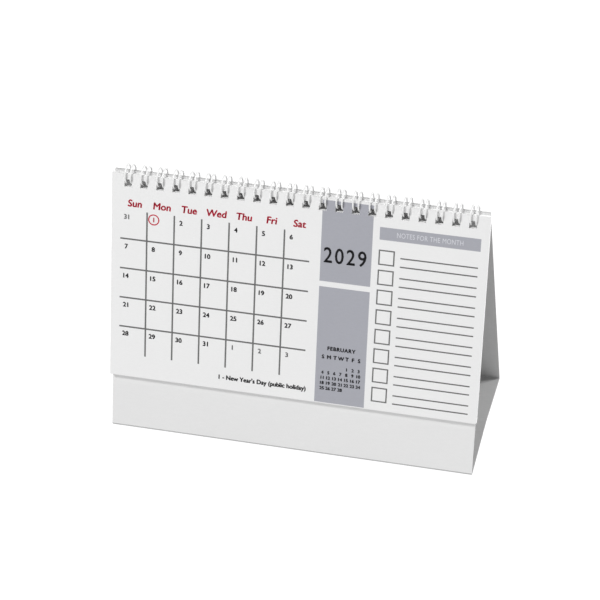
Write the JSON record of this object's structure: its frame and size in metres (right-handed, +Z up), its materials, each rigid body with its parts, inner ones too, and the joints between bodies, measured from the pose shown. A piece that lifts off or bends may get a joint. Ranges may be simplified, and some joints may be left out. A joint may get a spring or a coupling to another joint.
{
  "type": "desk tent calendar",
  "caption": "Desk calendar with month leaves bound by a white twin-loop wire to the top of a folded card tent base; the leaves turn over the wire and the base folds flat.",
  "frame": {"origin": "on the table, below the middle of the bounding box", "axes": "+X along the binding, to the right of someone reading the calendar; front faces -Y; +Z up"},
  "size_m": [0.195, 0.0798, 0.1409],
  "materials": {
    "card_outside": "matt white coated card",
    "card_inside": "uncoated inside of the same card",
    "white_wire": "white nylon-coated steel wire",
    "leaf_paper": "smooth matt printing paper"
  },
  "bodies": {
    "base": {"base_front_panel": "card_outside", "floor_front_half": "card_inside"},
    "back": {"base_back_panel": "card_outside", "floor_back_half": "card_inside"},
    "binding": {"wire_binding": "white_wire"},
    "leaf_december": {"leaf_december": "leaf_paper"},
    "leaf_november": {"leaf_november": "leaf_paper"},
    "leaf_october": {"leaf_october": "leaf_paper"},
    "leaf_september": {"leaf_september": "leaf_paper"},
    "leaf_august": {"leaf_august": "leaf_paper"},
    "leaf_july": {"leaf_july": "leaf_paper"},
    "leaf_june": {"leaf_june": "leaf_paper"},
    "leaf_may": {"leaf_may": "leaf_paper"},
    "leaf_april": {"leaf_april": "leaf_paper"},
    "leaf_march": {"leaf_march": "leaf_paper"},
    "leaf_february": {"leaf_february": "leaf_paper"},
    "january_margin": {"leaf_january_margin": "leaf_paper"},
    "january_page": {"leaf_january_page": "leaf_paper"}
  },
  "joints": [
    {"name": "base_fold", "type": "hinge", "parent": "base", "child": "back", "pos_m": [0, 0, 0.13566], "axis": [-1, 0, 0], "range_deg": [0, 29], "deforming": ["floor_front_half", "floor_back_half"]},
    {"name": "binding_turn", "type": "hinge", "parent": "base", "child": "binding", "pos_m": [0, 0, 0.13566], "axis": [-1, 0, 0], "range_deg": [0, 14.5]},
    {"name": "december_lift", "type": "hinge", "parent": "base", "child": "leaf_december", "pos_m": [0, 0, 0.13566], "axis": [-1, 0, 0], "range_deg": [0, 1]},
    {"name": "november_lift", "type": "hinge", "parent": "leaf_december", "child": "leaf_november", "pos_m": [0, 0, 0.13566], "axis": [-1, 0, 0], "range_deg": [0, 1]},
    {"name": "october_lift", "type": "hinge", "parent": "leaf_november", "child": "leaf_october", "pos_m": [0, 0, 0.13566], "axis": [-1, 0, 0], "range_deg": [0, 1]},
    {"name": "september_lift", "type": "hinge", "parent": "leaf_october", "child": "leaf_september", "pos_m": [0, 0, 0.13566], "axis": [-1, 0, 0], "range_deg": [0, 1]},
    {"name": "august_lift", "type": "hinge", "parent": "leaf_september", "child": "leaf_august", "pos_m": [0, 0, 0.13566], "axis": [-1, 0, 0], "range_deg": [0, 1]},
    {"name": "july_lift", "type": "hinge", "parent": "leaf_august", "child": "leaf_july", "pos_m": [0, 0, 0.13566], "axis": [-1, 0, 0], "range_deg": [0, 1]},
    {"name": "june_lift", "type": "hinge", "parent": "leaf_july", "child": "leaf_june", "pos_m": [0, 0, 0.13566], "axis": [-1, 0, 0], "range_deg": [0, 1]},
    {"name": "may_lift", "type": "hinge", "parent": "leaf_june", "child": "leaf_may", "pos_m": [0, 0, 0.13566], "axis": [-1, 0, 0], "range_deg": [0, 1]},
    {"name": "april_lift", "type": "hinge", "parent": "leaf_may", "child": "leaf_april", "pos_m": [0, 0, 0.13566], "axis": [-1, 0, 0], "range_deg": [0, 1]},
    {"name": "march_lift", "type": "hinge", "parent": "leaf_april", "child": "leaf_march", "pos_m": [0, 0, 0.13566], "axis": [-1, 0, 0], "range_deg": [0, 1]},
    {"name": "february_lift", "type": "hinge", "parent": "leaf_march", "child": "leaf_february", "pos_m": [0, 0, 0.13566], "axis": [-1, 0, 0], "range_deg": [0, 1]},
    {"name": "january_turn", "type": "hinge", "parent": "leaf_february", "child": "january_margin", "pos_m": [0, 0, 0.13566], "axis": [-1, 0, 0], "range_deg": [0, 190]},
    {"name": "january_bend", "type": "hinge", "parent": "january_margin", "child": "january_page", "pos_m": [0, -0.00577, 0.1292], "axis": [-1, 0, 0], "range_deg": [0, 123.5]}
  ],
  "couplings": [
    {"joint": "binding_turn", "follows": "base_fold", "ratio": 0.5},
    {"joint": "january_bend", "follows": "january_turn", "ratio": 0.65}
  ]
}
